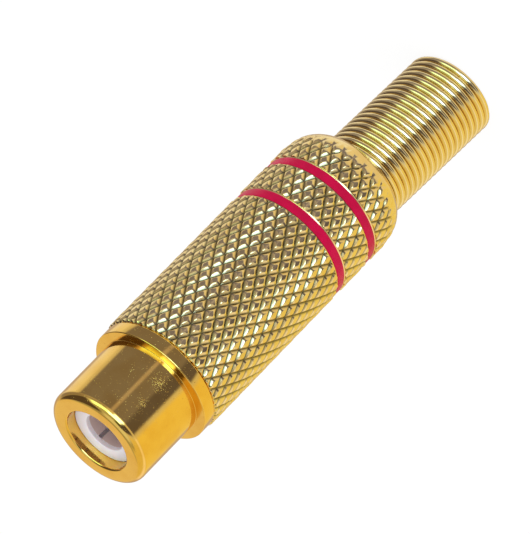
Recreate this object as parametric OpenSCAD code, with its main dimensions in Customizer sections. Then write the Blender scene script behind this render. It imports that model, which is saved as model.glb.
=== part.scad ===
// In-line cable socket, phono pattern, solder type, with a knurled screw-on shell
// and a coil-spring cable guard.
// The part stands on the ground end of its spring, with the mouth of the socket up.
// Z runs along the axis towards the mouth, and Z = 0 is the flat spring end.
// Every length is in millimetres.

/* [Socket barrel] */
// Outer diameter that the mating plug's collar grips
barrel_d = 8.3; // [8.0:0.05:8.6]
// Length from the mouth face to the front of the flange
barrel_len = 6.15; // [5.5:0.05:9]
// Diameter of the recess that shows the insulator
mouth_bore_d = 5.34; // [5.0:0.02:5.8]
// Depth of the insulator's face behind the mouth face
mouth_recess = 0.93; // [0.5:0.01:1.5]
// Chamfer at the inner edge of the mouth
mouth_chamfer = 0.16; // [0.05:0.01:0.25]
// Round at the outer edge of the mouth
mouth_round = 0.6; // [0.3:0.01:0.75]
// Fillet between the barrel and the flange
root_fillet = 0.15; // [0.1:0.01:0.4]

/* [Flange and thread] */
// How far the smooth flange lies below the knurl's points
flange_drop = 0.12; // [0.05:0.01:0.3]
// Thickness of the flange
flange_t = 1.1; // [0.8:0.05:1.6]
// Chamfer on both edges of the flange
flange_chamfer = 0.08; // [0.05:0.01:0.2]
// Wall of the shell over its thread, from the knurl's points
thread_wall = 0.8; // [0.75:0.01:0.9]
// Length of the threaded neck
thread_len = 4.0; // [3.2:0.1:4.6]
// Depth of the runout groove beside the flange
relief_depth = 0.3; // [0.1:0.01:0.4]
// Width of the runout groove
relief_w = 0.45; // [0.3:0.05:0.7]
// Chamfer at the start of the thread
thread_chamfer = 0.25; // [0.1:0.05:0.4]
// Step from the thread down to the thin tail that holds the ground tag
tail_step = 1.1; // [1.0:0.01:1.15]
// Wall of the thin tail
tail_wall = 0.25; // [0.2:0.01:0.3]
// Length of tail between the thread and its rolled edge
tail_len = 0.85; // [0.7:0.05:1.2]
// How far the rolled edge stands out over the tag
roll_out = 0.22; // [0.15:0.01:0.25]
// Thickness of the rolled edge
roll_t = 0.3; // [0.2:0.05:0.5]
// Distance from the mouth face to the step between the two bores
bore_step = 5.2; // [4.4:0.1:6.0]

/* [Insulator and contact] */
// Radial gap between the insulator and the bore it sits in
insulator_gap = 0.02; // [0.01:0.01:0.05]
// Thickness of the insulator's front wall
insulator_lip = 0.35; // [0.2:0.05:0.6]
// Diameter of the hole that takes the plug's pin
pin_hole_d = 3.2; // [3.15:0.01:3.3]
// How much wider the insulator's own hole is, all round
lip_clear = 0.02; // [0.01:0.01:0.03]
// Wall of the tubular centre contact
contact_wall = 0.35; // [0.25:0.05:0.45]
// Length of the contact tube
contact_len = 8.6; // [8:0.1:9.5]
// Solid web between the contact tube and the solder cup
contact_web = 0.8; // [0.5:0.1:1.2]
// Gap between the contact fingers and the insulator's pocket
finger_gap = 0.12; // [0.05:0.01:0.2]
// Width of the slots between the contact fingers
slot_w = 0.3; // [0.2:0.05:0.5]
// Length of the slots between the contact fingers
slot_len = 5.5; // [4:0.1:6.5]
// Number of slots, each across one side of the tube
slot_count = 4; // [2:1:6]
// Thickness of the contact's retaining collar
collar_t = 0.6; // [0.4:0.05:0.8]
// How far the collar stands out from the contact tube
collar_out = 0.35; // [0.2:0.05:0.45]
// Thickness of the insulating disc behind the contact
disc_t = 0.8; // [0.6:0.05:1.0]
// Outer diameter of the solder cup
cup_d = 2.4; // [2.0:0.05:2.8]
// Bore of the solder cup
cup_bore_d = 1.6; // [1.2:0.05:1.8]
// Length of the solder cup behind the disc
cup_len = 4.6; // [3.5:0.1:5.5]
// Length of the solder cup that is cut open
cup_open_len = 3.2; // [2.5:0.1:3.4]

/* [Ground tag and cable clamp] */
// Sheet thickness of the tag
tag_t = 0.4; // [0.3:0.01:0.45]
// Step from the thread down to the edge of the tag's ring
tag_step = 0.25; // [0.15:0.01:0.4]
// Width of the tag's arm
arm_w = 2.4; // [1.8:0.1:2.6]
// Radial gap between the arm and the tail's rolled edge
arm_gap = 0.04; // [0.02:0.01:0.06]
// Length of the arm from the ring to the clamp
arm_len = 7.4; // [6.5:0.1:8.5]
// Length of the clamp's wings along the cable
clamp_len = 4.4; // [3.5:0.1:5]
// Angle from the arm to the tip of each wing
clamp_reach = 118; // [100:1:130]
// Cable hole in the clamp's arm
arm_hole_d = 1.3; // [1.0:0.05:1.5]

/* [Shell] */
// Outer diameter over the knurl's points
shell_d = 10.1; // [10.0:0.02:10.4]
// Overall length of the shell
shell_len = 22.35; // [21:0.05:26]
// Gap that shows between the flange and the shell
seat_gap = 0.05; // [0.03:0.01:0.1]
// Radial clearance of the thread
thread_gap = 0.05; // [0.03:0.01:0.1]
// Length of the threaded bore at the front of the shell
shell_thread_len = 4.6; // [4.2:0.1:6]
// Wall of the shell behind the thread, from the knurl's points
shell_wall = 0.7; // [0.65:0.01:0.75]
// Thickness of the rear lip that holds the spring back
lip_t = 1.2; // [0.9:0.05:1.4]
// Radial clearance of the leaning spring in the lip's hole
spring_gap = 0.1; // [0.05:0.01:0.12]
// Radius of the rounded rear shoulder
shoulder_r = 2.2; // [1.9:0.05:2.4]
// Length of the shoulder along the axis
shoulder_len = 1.7; // [1.5:0.05:1.8]
// Length of the smooth band at the front edge
front_band = 0.2; // [0.15:0.01:0.5]
// How far the smooth bands lie below the knurl's points
band_drop = 0.1; // [0.05:0.01:0.15]
// Chamfer on the front edge
front_chamfer = 0.12; // [0.05:0.01:0.14]

/* [Knurl] */
// Number of points around the shell
knurl_count = 32; // [24:1:40]
// Length of one diamond along the axis
knurl_pitch = 1.55; // [1.3:0.01:2]
// Depth of the crossed grooves
knurl_depth = 0.22; // [0.12:0.01:0.25]

/* [Colour rings] */
// Width of each inlaid ring
ring_w = 0.75; // [0.5:0.05:1]
// Distance from the shell's front edge to the first ring
ring_first = 14.32; // [10:0.01:15]
// Plain knurl between the two rings
ring_between = 2.87; // [2:0.01:3.5]
// Width of the plain land on each side of a ring
ring_land = 0.12; // [0.08:0.01:0.2]
// Depth of the ring grooves below the knurl's points
ring_depth = 0.35; // [0.3:0.01:0.38]
// How far the inlay lies below the knurl's points
ring_recess = 0.08; // [0.05:0.01:0.15]

/* [Spring guard] */
// Outer diameter of the coils that show
spring_d = 7.12; // [6.9:0.02:7.3]
// Wire diameter
wire_d = 0.55; // [0.45:0.01:0.6]
// Gap between neighbouring turns
coil_gap = 0.025; // [0.02:0.005:0.05]
// Length of spring that stands out of the shell
spring_out = 11.15; // [9:0.05:14]
// Radial gap between the wide turns and the shell's bore
base_side_gap = 0.1; // [0.08:0.01:0.15]
// Number of wide turns
base_turns = 2; // [1:1:3]
// Turns over which the spring narrows
taper_turns = 0.75; // [0.5:0.05:1]
// How far off the axis the coils leave the shell
spring_shift = 0.42; // [0:0.01:0.44]
// How much further off they lean with each millimetre
spring_lean = 0.036; // [0:0.001:0.038]
// Clearance between the widening turn and the lip
base_gap = 0.08; // [0.05:0.01:0.15]

/* [Insulating sleeve] */
// Wall of the plastic sleeve round the solder joints
sleeve_wall = 0.25; // [0.2:0.01:0.28]
// Radial gap between the sleeve and the shell
sleeve_gap = 0.15; // [0.1:0.01:0.2]
// Length of the sleeve
sleeve_len = 13.4; // [12:0.1:14]
// Gap between the sleeve and the spring's first turn
sleeve_seat = 0.05; // [0.03:0.01:0.1]

/* [Hidden] */
$fn = 96;
eps = 0.01;
arc_steps = 8;

gold = [0.83, 0.62, 0.22];
old_gold = [0.72, 0.56, 0.24];
spring_gold = [0.80, 0.66, 0.34];
tin = [0.62, 0.54, 0.50];
nylon = [0.93, 0.91, 0.93];
fibre = [0.45, 0.22, 0.14];
crimson = [0.80, 0.0, 0.22];
clear_grey = [0.75, 0.77, 0.78];

// Heights above the spring's flat end
shell_back_z = spring_out;
shell_front_z = shell_back_z + shell_len;
flange_back_z = shell_front_z + seat_gap;
flange_front_z = flange_back_z + flange_t;
mouth_z = flange_front_z + barrel_len;
thread_end_z = flange_back_z - thread_len;
tail_end_z = thread_end_z - tail_len;
bore_step_z = mouth_z - bore_step;
insulator_face_z = mouth_z - mouth_recess;
contact_face_z = insulator_face_z - insulator_lip;
contact_back_z = contact_face_z - contact_len;
collar_back_z = contact_back_z - collar_t;
disc_back_z = collar_back_z - disc_t;
cup_end_z = disc_back_z - cup_len;

// Socket body
shell_r = shell_d / 2;
barrel_r = barrel_d / 2;
mouth_bore_r = mouth_bore_d / 2;
flange_r = shell_r - flange_drop;
shell_thread_r = shell_r - thread_wall;
thread_r = shell_thread_r - thread_gap;
relief_r = thread_r - relief_depth;
tail_r = thread_r - tail_step;
rear_bore_r = tail_r - tail_wall;
root_r = min(root_fillet, flange_r - flange_chamfer - barrel_r);

// Insulator and contact
pin_r = pin_hole_d / 2;
lip_hole_r = pin_r + lip_clear;
contact_r = pin_r + contact_wall;
pocket_r = contact_r + finger_gap;
collar_r = contact_r + collar_out;
cup_r = cup_d / 2;
cup_bore_r = cup_bore_d / 2;

// Ground tag, whose ring is held between the thread and the rolled edge
tag_front_z = thread_end_z;
tag_back_z = tag_front_z - tag_t;
tag_ring_r = thread_r - tag_step;
clamp_front_z = tag_back_z - arm_len;
clamp_back_z = clamp_front_z - clamp_len;
arm_in = tail_r + roll_out + arm_gap;
arm_out = arm_in + tag_t;

// Shell
valley_r = shell_r - knurl_depth;
band_r = shell_r - band_drop;
shell_bore_r = shell_r - shell_wall;
lip_front_z = shell_back_z + lip_t;
knurl_front_z = shell_front_z - front_band;
knurl_back_z = shell_back_z + shoulder_len;
knurl_rows = round((knurl_front_z - knurl_back_z) / knurl_pitch * 2);
knurl_step = (knurl_front_z - knurl_back_z) / knurl_rows;
ring_floor_r = shell_r - ring_depth;
ring_r = shell_r - ring_recess;
ring_front_z = shell_front_z - ring_first - ring_w;
ring_rear_z = ring_front_z - ring_between - ring_w;

// Spring guard: a wire of wire_sides flats that climbs one coil_pitch a turn. It has
// cleared the lip halfway through the turn that widens.
wire_r = wire_d / 2;
coil_pitch = wire_d + coil_gap;
coil_r = spring_d / 2 - wire_r;
base_r = shell_bore_r - base_side_gap - wire_r;
lip_hole_clear_r = spring_d / 2 + spring_shift + spring_gap;
wire_sides = 8;
steps_per_turn = 18;
ground_part = 0.25;
wire_start_z = -wire_r * 2 * ground_part;
base_low_z = lip_front_z + base_gap + wire_r + taper_turns / 2 * coil_pitch;
narrow_turns = (base_low_z - wire_start_z) / coil_pitch - taper_turns;
all_turns = narrow_turns + taper_turns + base_turns;
spring_top_z = wire_start_z + all_turns * coil_pitch + wire_r;

// Sleeve
sleeve_out_r = shell_bore_r - sleeve_gap;
sleeve_in_r = sleeve_out_r - sleeve_wall;
sleeve_z = spring_top_z + sleeve_seat;

// A revolved ring between two radii and two heights
module tube(r_out, r_in, z_low, z_high) {
    translate([0, 0, z_low])
        difference() {
            cylinder(r = r_out, h = z_high - z_low);
            translate([0, 0, -eps]) cylinder(r = r_in, h = z_high - z_low + 2 * eps);
        }
}

// Points of an arc about a centre, from one angle to another
function arc(cx, cy, r, from, to, steps) =
    [for (i = [0:steps]) let (a = from + (to - from) * i / steps) [cx + r * cos(a), cy + r * sin(a)]];

// Turned brass body: barrel, flange, threaded neck and rolled tail
module socket_body() {
    fillet_top = flange_front_z + root_r;
    outline = concat(
        [[mouth_bore_r + mouth_chamfer, mouth_z]],
        arc(barrel_r - mouth_round, mouth_z - mouth_round, mouth_round, 90, 0, arc_steps),
        arc(barrel_r + root_r, fillet_top, root_r, 180, 270, arc_steps),
        [[flange_r - flange_chamfer, flange_front_z],
         [flange_r, flange_front_z - flange_chamfer],
         [flange_r, flange_back_z + flange_chamfer],
         [flange_r - flange_chamfer, flange_back_z],
         [relief_r, flange_back_z],
         [relief_r, flange_back_z - relief_w],
         [thread_r - thread_chamfer, flange_back_z - relief_w],
         [thread_r, flange_back_z - relief_w - thread_chamfer],
         [thread_r, thread_end_z + thread_chamfer],
         [thread_r - thread_chamfer, thread_end_z],
         [tail_r, thread_end_z],
         [tail_r, tag_back_z],
         [tail_r + roll_out, tag_back_z],
         [tail_r + roll_out, tag_back_z - roll_t],
         [tail_r, tail_end_z],
         [rear_bore_r, tail_end_z],
         [rear_bore_r, bore_step_z],
         [mouth_bore_r, bore_step_z],
         [mouth_bore_r, mouth_z - mouth_chamfer]]);
    color(gold) rotate_extrude() polygon(outline);
}

// Moulded nylon bush that carries the centre contact
module insulator() {
    front_r = mouth_bore_r - insulator_gap;
    back_r = rear_bore_r - insulator_gap;
    outline = [[lip_hole_r, insulator_face_z],
               [front_r, insulator_face_z],
               [front_r, bore_step_z - insulator_gap],
               [back_r, bore_step_z - insulator_gap],
               [back_r, collar_back_z],
               [collar_r, collar_back_z],
               [collar_r, contact_back_z],
               [pocket_r, contact_back_z],
               [pocket_r, contact_face_z],
               [lip_hole_r, contact_face_z]];
    color(nylon) rotate_extrude() polygon(outline);
}

// Tubular contact with sprung fingers in front and a solder cup behind
module centre_contact() {
    color(tin)
        difference() {
            union() {
                translate([0, 0, contact_back_z]) cylinder(r = contact_r, h = contact_len);
                translate([0, 0, collar_back_z]) cylinder(r = collar_r, h = collar_t);
                translate([0, 0, cup_end_z]) cylinder(r = cup_r, h = collar_back_z - cup_end_z);
            }
            translate([0, 0, contact_back_z + contact_web])
                cylinder(r = pin_r, h = contact_len);
            translate([0, 0, cup_end_z - eps])
                cylinder(r = cup_bore_r, h = cup_len + eps);
            translate([0, -cup_r, cup_end_z - eps])
                cube([cup_d, cup_d, cup_open_len + eps]);
            for (i = [0:slot_count - 1])
                rotate([0, 0, i * 360 / slot_count])
                    translate([0, -slot_w / 2, contact_face_z - slot_len])
                        cube([contact_r + eps, slot_w, slot_len + eps]);
        }
}

// Fibre disc that closes the body's tail behind the contact
module insulating_disc() {
    color(fibre)
        tube(rear_bore_r - insulator_gap, cup_r + insulator_gap, disc_back_z, collar_back_z);
}

// Pressed ring, arm and open cable clamp, folded from one sheet
module ground_clamp() {
    opening = 180 - clamp_reach;
    beside_r = arm_out + 1;
    color(old_gold)
        difference() {
            union() {
                tube(tag_ring_r, tail_r + insulator_gap, tag_back_z, tag_front_z);
                tube(arm_out, arm_in, clamp_back_z, tag_back_z + tag_t / 2);
            }
            translate([-beside_r, arm_w / 2, clamp_front_z])
                cube([2 * beside_r, beside_r, arm_len]);
            translate([-beside_r, -arm_w / 2 - beside_r, clamp_front_z])
                cube([2 * beside_r, beside_r, arm_len]);
            translate([0, -arm_w / 2 - eps, clamp_front_z])
                cube([beside_r, arm_w + 2 * eps, arm_len]);
            translate([0, 0, clamp_back_z - eps])
                linear_extrude(clamp_len + 2 * eps)
                    polygon([[0, 0],
                             [beside_r * cos(opening), -beside_r * sin(opening)],
                             [beside_r, -beside_r * sin(opening)],
                             [beside_r, beside_r * sin(opening)],
                             [beside_r * cos(opening), beside_r * sin(opening)]]);
            translate([-beside_r, 0, (clamp_front_z + tag_back_z) / 2])
                rotate([0, 90, 0]) cylinder(d = arm_hole_d, h = beside_r);
        }
}

// Points of the knurl, row by row from the back: each row has a point and a crossing
// of two grooves by turns, and the next row has them the other way round
function knurl_point(row, k) =
    let (low = (row + k) % 2 == 0 || row == 0 || row == knurl_rows,
         r = low ? valley_r : shell_r,
         a = 180 * k / knurl_count)
    [r * cos(a), r * sin(a), knurl_back_z + row * knurl_step];

// Solid bar with pyramids of four flats between two sets of crossed helical grooves
module knurled_bar() {
    around = 2 * knurl_count;
    points = [for (row = [0:knurl_rows], k = [0:around - 1]) knurl_point(row, k)];
    sides = [for (row = [0:knurl_rows - 1], k = [0:around - 1])
        let (a = row * around + k,
             b = row * around + (k + 1) % around,
             c = a + around,
             d = b + around)
        each (row + k) % 2 == 0 ? [[a, d, b], [a, c, d]] : [[a, c, b], [b, c, d]]];
    back_cap = [[for (k = [0:around - 1]) k]];
    front_cap = [[for (k = [around - 1:-1:0]) knurl_rows * around + k]];
    polyhedron(points, concat(sides, back_cap, front_cap), convexity = 6);
}

// Knurled screw-on shell with a rounded rear lip
module shell() {
    shoulder = concat(
        [[0, knurl_back_z]],
        arc(band_r - shoulder_r, knurl_back_z, shoulder_r, 0, -asin(shoulder_len / shoulder_r), arc_steps),
        [[0, shell_back_z]]);
    bore = [[0, shell_back_z - eps],
            [lip_hole_clear_r, shell_back_z - eps],
            [lip_hole_clear_r, lip_front_z],
            [shell_bore_r, lip_front_z],
            [shell_bore_r, shell_front_z - shell_thread_len],
            [shell_thread_r, shell_front_z - shell_thread_len],
            [shell_thread_r, shell_front_z + eps],
            [0, shell_front_z + eps]];
    color(old_gold)
        difference() {
            union() {
                knurled_bar();
                rotate_extrude() polygon(shoulder);
                ring_lands(ring_front_z);
                ring_lands(ring_rear_z);
                translate([0, 0, knurl_front_z])
                    cylinder(r = band_r, h = front_band - front_chamfer);
                translate([0, 0, shell_front_z - front_chamfer])
                    cylinder(r1 = band_r, r2 = band_r - front_chamfer, h = front_chamfer);
            }
            rotate_extrude() polygon(bore);
            ring_groove(ring_front_z);
            ring_groove(ring_rear_z);
        }
}

// Plain band under one inlaid ring, a little wider than the ring
module ring_lands(z) {
    translate([0, 0, z - ring_land]) cylinder(r = band_r, h = ring_w + 2 * ring_land);
}

// Cut across the knurl for one inlaid ring: down to the lands, and between them down to the floor
module ring_groove(z) {
    tube(shell_r + 1, band_r, z - ring_land, z + ring_w + ring_land);
    tube(shell_r + 1, ring_floor_r, z, z + ring_w);
}

// Ring of coloured enamel that fills its groove
module colour_ring(z) {
    color(crimson) tube(ring_r, ring_floor_r, z, z + ring_w);
}

module ring_front() {
    colour_ring(ring_front_z);
}

module ring_rear() {
    colour_ring(ring_rear_z);
}

// Share of the widening that a number of turns from the ground end has reached
function widened(turns) =
    let (t = min(1, max(0, (turns - narrow_turns) / taper_turns)))
    t * t * (3 - 2 * t);

// Radius of the wire's centre
function wire_path_r(turns) = coil_r + (base_r - coil_r) * widened(turns);

// How far off the axis a turn lies, towards -X. The wide turns are centred in the bore.
function wire_off(turns, height) =
    (spring_shift + spring_lean * (shell_back_z - height)) * (1 - widened(turns));

// One corner of the wire's section. Near the ground end the section is only the part of
// the circle above Z = 0, and its first and last corners lie on the flat.
function wire_point(step, side) =
    let (turns = step / steps_per_turn,
         a = 360 * turns,
         height = wire_start_z + coil_pitch * turns,
         lift = min(1, height / wire_r),
         ease = lift > 0 ? pow(lift, 6) / 2 : 0,
         low = -asin(lift),
         b = low + (180 - 2 * low) * (side + ease) / (wire_sides - 1 + 2 * ease),
         reach = wire_r * (1 + 2 * ease * (1 / cos(180 / wire_sides) - 1)),
         r = wire_path_r(turns) + reach * cos(b))
    [r * cos(a) - wire_off(turns, height), r * sin(a), height + reach * sin(b)];

// Close-wound guard with its end ground flat and its base turns wider than the lip's hole.
// The coils that show lean to one side, as far as the hole lets them.
module spring_guard() {
    steps = round(all_turns * steps_per_turn);
    points = [for (i = [0:steps], j = [0:wire_sides - 1]) wire_point(i, j)];
    skin = [for (i = [0:steps - 1], j = [0:wire_sides - 1])
        let (a = i * wire_sides + j,
             b = i * wire_sides + (j + 1) % wire_sides,
             c = a + wire_sides,
             d = b + wire_sides)
        each [[a, b, d], [a, d, c]]];
    start_cap = [[for (j = [wire_sides - 1:-1:0]) j]];
    end_cap = [[for (j = [0:wire_sides - 1]) steps * wire_sides + j]];
    color(spring_gold) polyhedron(points, concat(skin, start_cap, end_cap), convexity = 10);
}

// Clear plastic tube between the shell and the soldered joints
module sleeve() {
    color(clear_grey) tube(sleeve_out_r, sleeve_in_r, sleeve_z, sleeve_z + sleeve_len);
}

socket_body();
insulator();
centre_contact();
insulating_disc();
ground_clamp();
shell();
ring_front();
ring_rear();
spring_guard();
sleeve();
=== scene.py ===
"""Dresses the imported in-line phono socket: turned gold barrel, knurled shell, enamel rings and wound spring.

Sizes are in millimetres until a mesh is written. The part stands on its spring, with +Z towards the mouth.
"""
import logging
import math
from abc import ABC, abstractmethod
from dataclasses import dataclass, field
from enum import Enum
from functools import partial, reduce

import bpy
from bpy.types import ID, Material, Node, NodeTree, Object
from mathutils import Matrix, Vector


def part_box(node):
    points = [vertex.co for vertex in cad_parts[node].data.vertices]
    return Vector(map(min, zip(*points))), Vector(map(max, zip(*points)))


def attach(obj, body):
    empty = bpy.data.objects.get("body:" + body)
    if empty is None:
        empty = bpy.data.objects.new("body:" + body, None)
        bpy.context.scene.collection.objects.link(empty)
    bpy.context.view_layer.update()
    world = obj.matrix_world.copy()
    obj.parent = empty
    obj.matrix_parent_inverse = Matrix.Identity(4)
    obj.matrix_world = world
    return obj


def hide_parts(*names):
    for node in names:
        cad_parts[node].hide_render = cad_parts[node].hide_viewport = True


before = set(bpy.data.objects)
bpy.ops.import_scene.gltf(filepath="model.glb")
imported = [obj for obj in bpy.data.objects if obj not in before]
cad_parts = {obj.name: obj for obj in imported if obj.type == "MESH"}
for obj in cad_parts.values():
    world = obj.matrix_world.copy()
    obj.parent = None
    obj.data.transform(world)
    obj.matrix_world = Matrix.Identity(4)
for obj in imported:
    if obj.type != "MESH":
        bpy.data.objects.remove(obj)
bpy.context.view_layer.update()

Socket = bpy.types.NodeSocket
Value = float | Socket
Point = tuple[float, float]
Span = tuple[float, float]
Place = tuple[float, float, float]
Colour = tuple[float, float, float]
Inputs = dict[str | int, object]

MM = 0.001
FULL_TURN = 2 * math.pi
KNURL_MARK = "knurl_mark"
THREAD_MARK = "thread_mark"
KNURL_HEIGHT = "knurl_height"

log = logging.getLogger("phono_socket")


class Slot(Enum):
    """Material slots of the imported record."""

    GOLD = "gold_plate"
    KNURLED = "knurled_gold"
    TAG = "tag_plate"
    CONTACT = "contact_metal"
    SPRING = "spring_gold"
    NYLON = "white_nylon"
    FIBRE = "brown_fibre"
    SLEEVE = "clear_sleeve"
    ENAMEL = "crimson_enamel"


class Body(Enum):
    """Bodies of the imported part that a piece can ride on."""

    GUARD = "cable_guard"
    SHELL = "screw_shell"
    CORE = "socket_core"


class Graph:
    """Adds nodes to one tree and joins them, so that a rule reads as a sum."""

    def __init__(self, tree: NodeTree) -> None:
        """Works on a shader or geometry tree that exists."""
        self.tree = tree

    def node(self, kind: str, inputs: Inputs | None = None, **settings: object) -> Node:
        """Adds one node.

        Args:
            kind: The node's type name.
            inputs: What its inputs are set to.
            settings: Values of the node's own properties.

        Returns:
            The new node.
        """
        made = self.tree.nodes.new(kind)
        for name, value in settings.items():
            setattr(made, name, value)
        return self.fill(made, inputs or {})

    def fill(self, node: Node, inputs: Inputs) -> Node:
        """Sets some of a node's inputs.

        Args:
            node: The node.
            inputs: Sockets to link and constants to write, by the inputs' names or places.

        Returns:
            The same node.
        """
        for key, value in inputs.items():
            if isinstance(value, Socket):
                self.tree.links.new(value, node.inputs[key])
            else:
                node.inputs[key].default_value = value
        return node

    def math(self, operation: str, *values: Value) -> Socket:
        """Adds one Math node, whose inputs are numbers or sockets, and gives its result."""
        return self.node("ShaderNodeMath", dict(enumerate(values)), operation=operation).outputs[0]

    def total(self, *values: Value) -> Socket:
        """Adds up any number of values."""
        return reduce(partial(self.math, "ADD"), values)

    def times(self, *values: Value) -> Socket:
        """Multiplies any number of values."""
        return reduce(partial(self.math, "MULTIPLY"), values)

    def minus(self, first: Value, second: Value) -> Socket:
        """Takes the second value from the first."""
        return self.math("SUBTRACT", first, second)

    def over(self, first: Value, second: Value) -> Socket:
        """Divides the first value by the second."""
        return self.math("DIVIDE", first, second)

    def radius(self, x: Socket, y: Socket) -> Socket:
        """Gives the distance from the axis."""
        return self.math("SQRT", self.total(self.times(x, x), self.times(y, y)))

    def turns(self, x: Socket, y: Socket) -> Socket:
        """Gives the angle round the axis in whole turns."""
        return self.over(self.math("ARCTAN2", y, x), FULL_TURN)

    def smooth(self, value: Value, low: Value, high: Value, start: Value = 0.0, end: Value = 1.0) -> Socket:
        """Maps a value smoothly: low and below give start, high and above give end."""
        inputs = dict(enumerate((value, low, high, start, end)))
        return self.node("ShaderNodeMapRange", inputs, interpolation_type="SMOOTHSTEP").outputs[0]

    def parts(self, vector: Socket) -> tuple[Socket, ...]:
        """Splits a vector into its three sockets."""
        return tuple(self.node("ShaderNodeSeparateXYZ", {0: vector}).outputs)

    def vector(self, x: Value, y: Value, z: Value) -> Socket:
        """Puts three values together as a vector."""
        return self.node("ShaderNodeCombineXYZ", {0: x, 1: y, 2: z}).outputs[0]

    def noise(self, place: Socket, size: float, detail: float = 2.0) -> Socket:
        """Adds noise whose blotches have about a size in millimetres, with a number of finer layers."""
        inputs = {"Vector": place, "Scale": 1.0 / (size * MM), "Detail": detail}
        return self.node("ShaderNodeTexNoise", inputs).outputs[0]

    def blend(self, share: Value, first: Colour | Socket, second: Colour | Socket) -> Socket:
        """Mixes two colours, written or linked, by how much of the second shows."""
        # A Mix node's colours go in at places 6 and 7 and come out at 2.
        first, second = ((*item, 1.0) if isinstance(item, tuple) else item for item in (first, second))
        return self.node("ShaderNodeMix", {0: share, 6: first, 7: second}, data_type="RGBA").outputs[2]

    def bump(self, height: Socket) -> Socket:
        """Gives the normal of a relief whose height is in metres."""
        return self.node("ShaderNodeBump", {"Strength": 1.0, "Distance": 1.0, "Height": height}).outputs[0]


class Finish(ABC):
    """One surface finish of the part."""

    name: str

    @abstractmethod
    def dress(self, graph: Graph, shader: Node) -> None:
        """Sets the shader's sockets and adds the nodes that vary them."""

    def build(self) -> Material:
        """Makes the finish as a material.

        Returns:
            The new material.
        """
        made = bpy.data.materials.new(self.name)
        made.use_nodes = True
        shader = made.node_tree.nodes["Principled BSDF"]
        self.dress(Graph(made.node_tree), shader)
        return made


@dataclass(frozen=True)
class Scuff:
    """A patch of short handling marks on a finish, by its centre and reach in millimetres."""

    x: float
    y: float
    z: float
    reach: float


@dataclass(frozen=True)
class PlatedMetal(Finish):
    """Plating over turned or rolled metal: mottled tone, fine tool lines, small pits and scuffs, and painted
    shade in the knurl's grooves where a groove shade colour is given.
    """

    name: str
    colour: Colour
    worn: Colour
    roughness: float
    spread: float = 0.06
    mottle_size: float = 1.6
    mottle_layers: float = 3.0
    mottle_edges: Span = (0.35, 0.75)
    gloss_edges: Span = (0.3, 0.7)
    line_size: float = 0.05
    line_depth: float = 0.0006
    pit_size: float = 0.35
    pit_depth: float = 0.004
    pit_edges: Span = (0.04, 0.16)
    # Painted shade for the knurl's grooves: its dark colour, the band of slope that it covers and how far it
    # darkens.
    groove_shade_colour: Colour | None = None
    groove_shade_share: float = 0.36
    groove_shade_strength: float = 0.85
    groove_dulling: float = 0.12
    scuffs: tuple[Scuff, ...] = ()
    scuff_size: float = 0.13
    scuff_stretch: float = 2.4
    scuff_edges: Span = (0.58, 0.62)
    scuff_fade: float = 0.16
    scuff_depth: float = 0.006
    scuff_dulling: float = 0.3

    def dress(self, graph: Graph, shader: Node) -> None:
        """Sets a metal whose tone, gloss and relief vary over the surface."""
        place = graph.node("ShaderNodeTexCoord").outputs["Object"]
        mottle = graph.noise(place, self.mottle_size, self.mottle_layers)
        colour = graph.blend(graph.smooth(mottle, *self.mottle_edges), self.colour, self.worn)
        rough = graph.smooth(
            graph.noise(place, self.mottle_size / 3), *self.gloss_edges,
            self.roughness - self.spread / 2, self.roughness + self.spread / 2)
        # Painted shade: the knurl's grooves, found by the stored slope, are darkened towards a dark colour and
        # made a little rougher.
        if self.groove_shade_colour is not None:
            height = graph.node("ShaderNodeAttribute", attribute_name=KNURL_HEIGHT).outputs["Fac"]
            groove = graph.smooth(height, 0.0, self.groove_shade_share, 1.0, 0.0)
            colour = graph.blend(graph.times(groove, self.groove_shade_strength), colour, self.groove_shade_colour)
            rough = graph.total(rough, graph.times(groove, self.groove_dulling))
        scuffed = self.scuffed(graph, place) if self.scuffs else 0.0
        rough = graph.total(rough, graph.times(scuffed, self.scuff_dulling))
        normal = graph.bump(self.relief(graph, place, scuffed))
        graph.fill(shader, {"Base Color": colour, "Roughness": rough, "Metallic": 1.0, "Normal": normal})

    def relief(self, graph: Graph, place: Socket, scuffed: Value) -> Socket:
        """Adds up the tool lines round the axis, the pits and the scuffs.

        Args:
            graph: The material's graph.
            place: Object coordinates.
            scuffed: How far each spot is scuffed.

        Returns:
            The height of the relief in metres.
        """
        x, y, z = graph.parts(place)
        along = {"W": graph.total(z, graph.radius(x, y)), "Scale": 1.0 / (self.line_size * MM)}
        lines = graph.node("ShaderNodeTexNoise", along, noise_dimensions="1D")
        pits = graph.node("ShaderNodeTexVoronoi", {"Vector": place, "Scale": 1.0 / (self.pit_size * MM)})
        hollow = graph.smooth(pits.outputs["Distance"], *self.pit_edges)
        return graph.total(
            graph.times(lines.outputs[0], self.line_depth * MM),
            graph.times(hollow, self.pit_depth * MM),
            graph.times(scuffed, self.scuff_depth * MM))

    def scuffed(self, graph: Graph, place: Socket) -> Value:
        """Draws the scuffed patches' short strokes, which run round the axis.

        Args:
            graph: The material's graph.
            place: Object coordinates.

        Returns:
            How far each spot is scuffed, from 0 to 1.
        """
        x, y, z = graph.parts(place)
        drawn = graph.vector(x, y, graph.times(z, self.scuff_stretch))
        strokes = graph.noise(drawn, self.scuff_size, 1.0)
        share: Value = 0.0
        for scuff in self.scuffs:
            centre = (scuff.x * MM, scuff.y * MM, scuff.z * MM)
            away = graph.node("ShaderNodeVectorMath", {0: place, 1: centre}, operation="DISTANCE")
            far = graph.smooth(away.outputs["Value"], 0.0, scuff.reach * MM, 0.0, self.scuff_fade)
            stroke = graph.smooth(graph.minus(strokes, far), *self.scuff_edges)
            share = graph.math("MAXIMUM", share, stroke)
        return share


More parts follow.
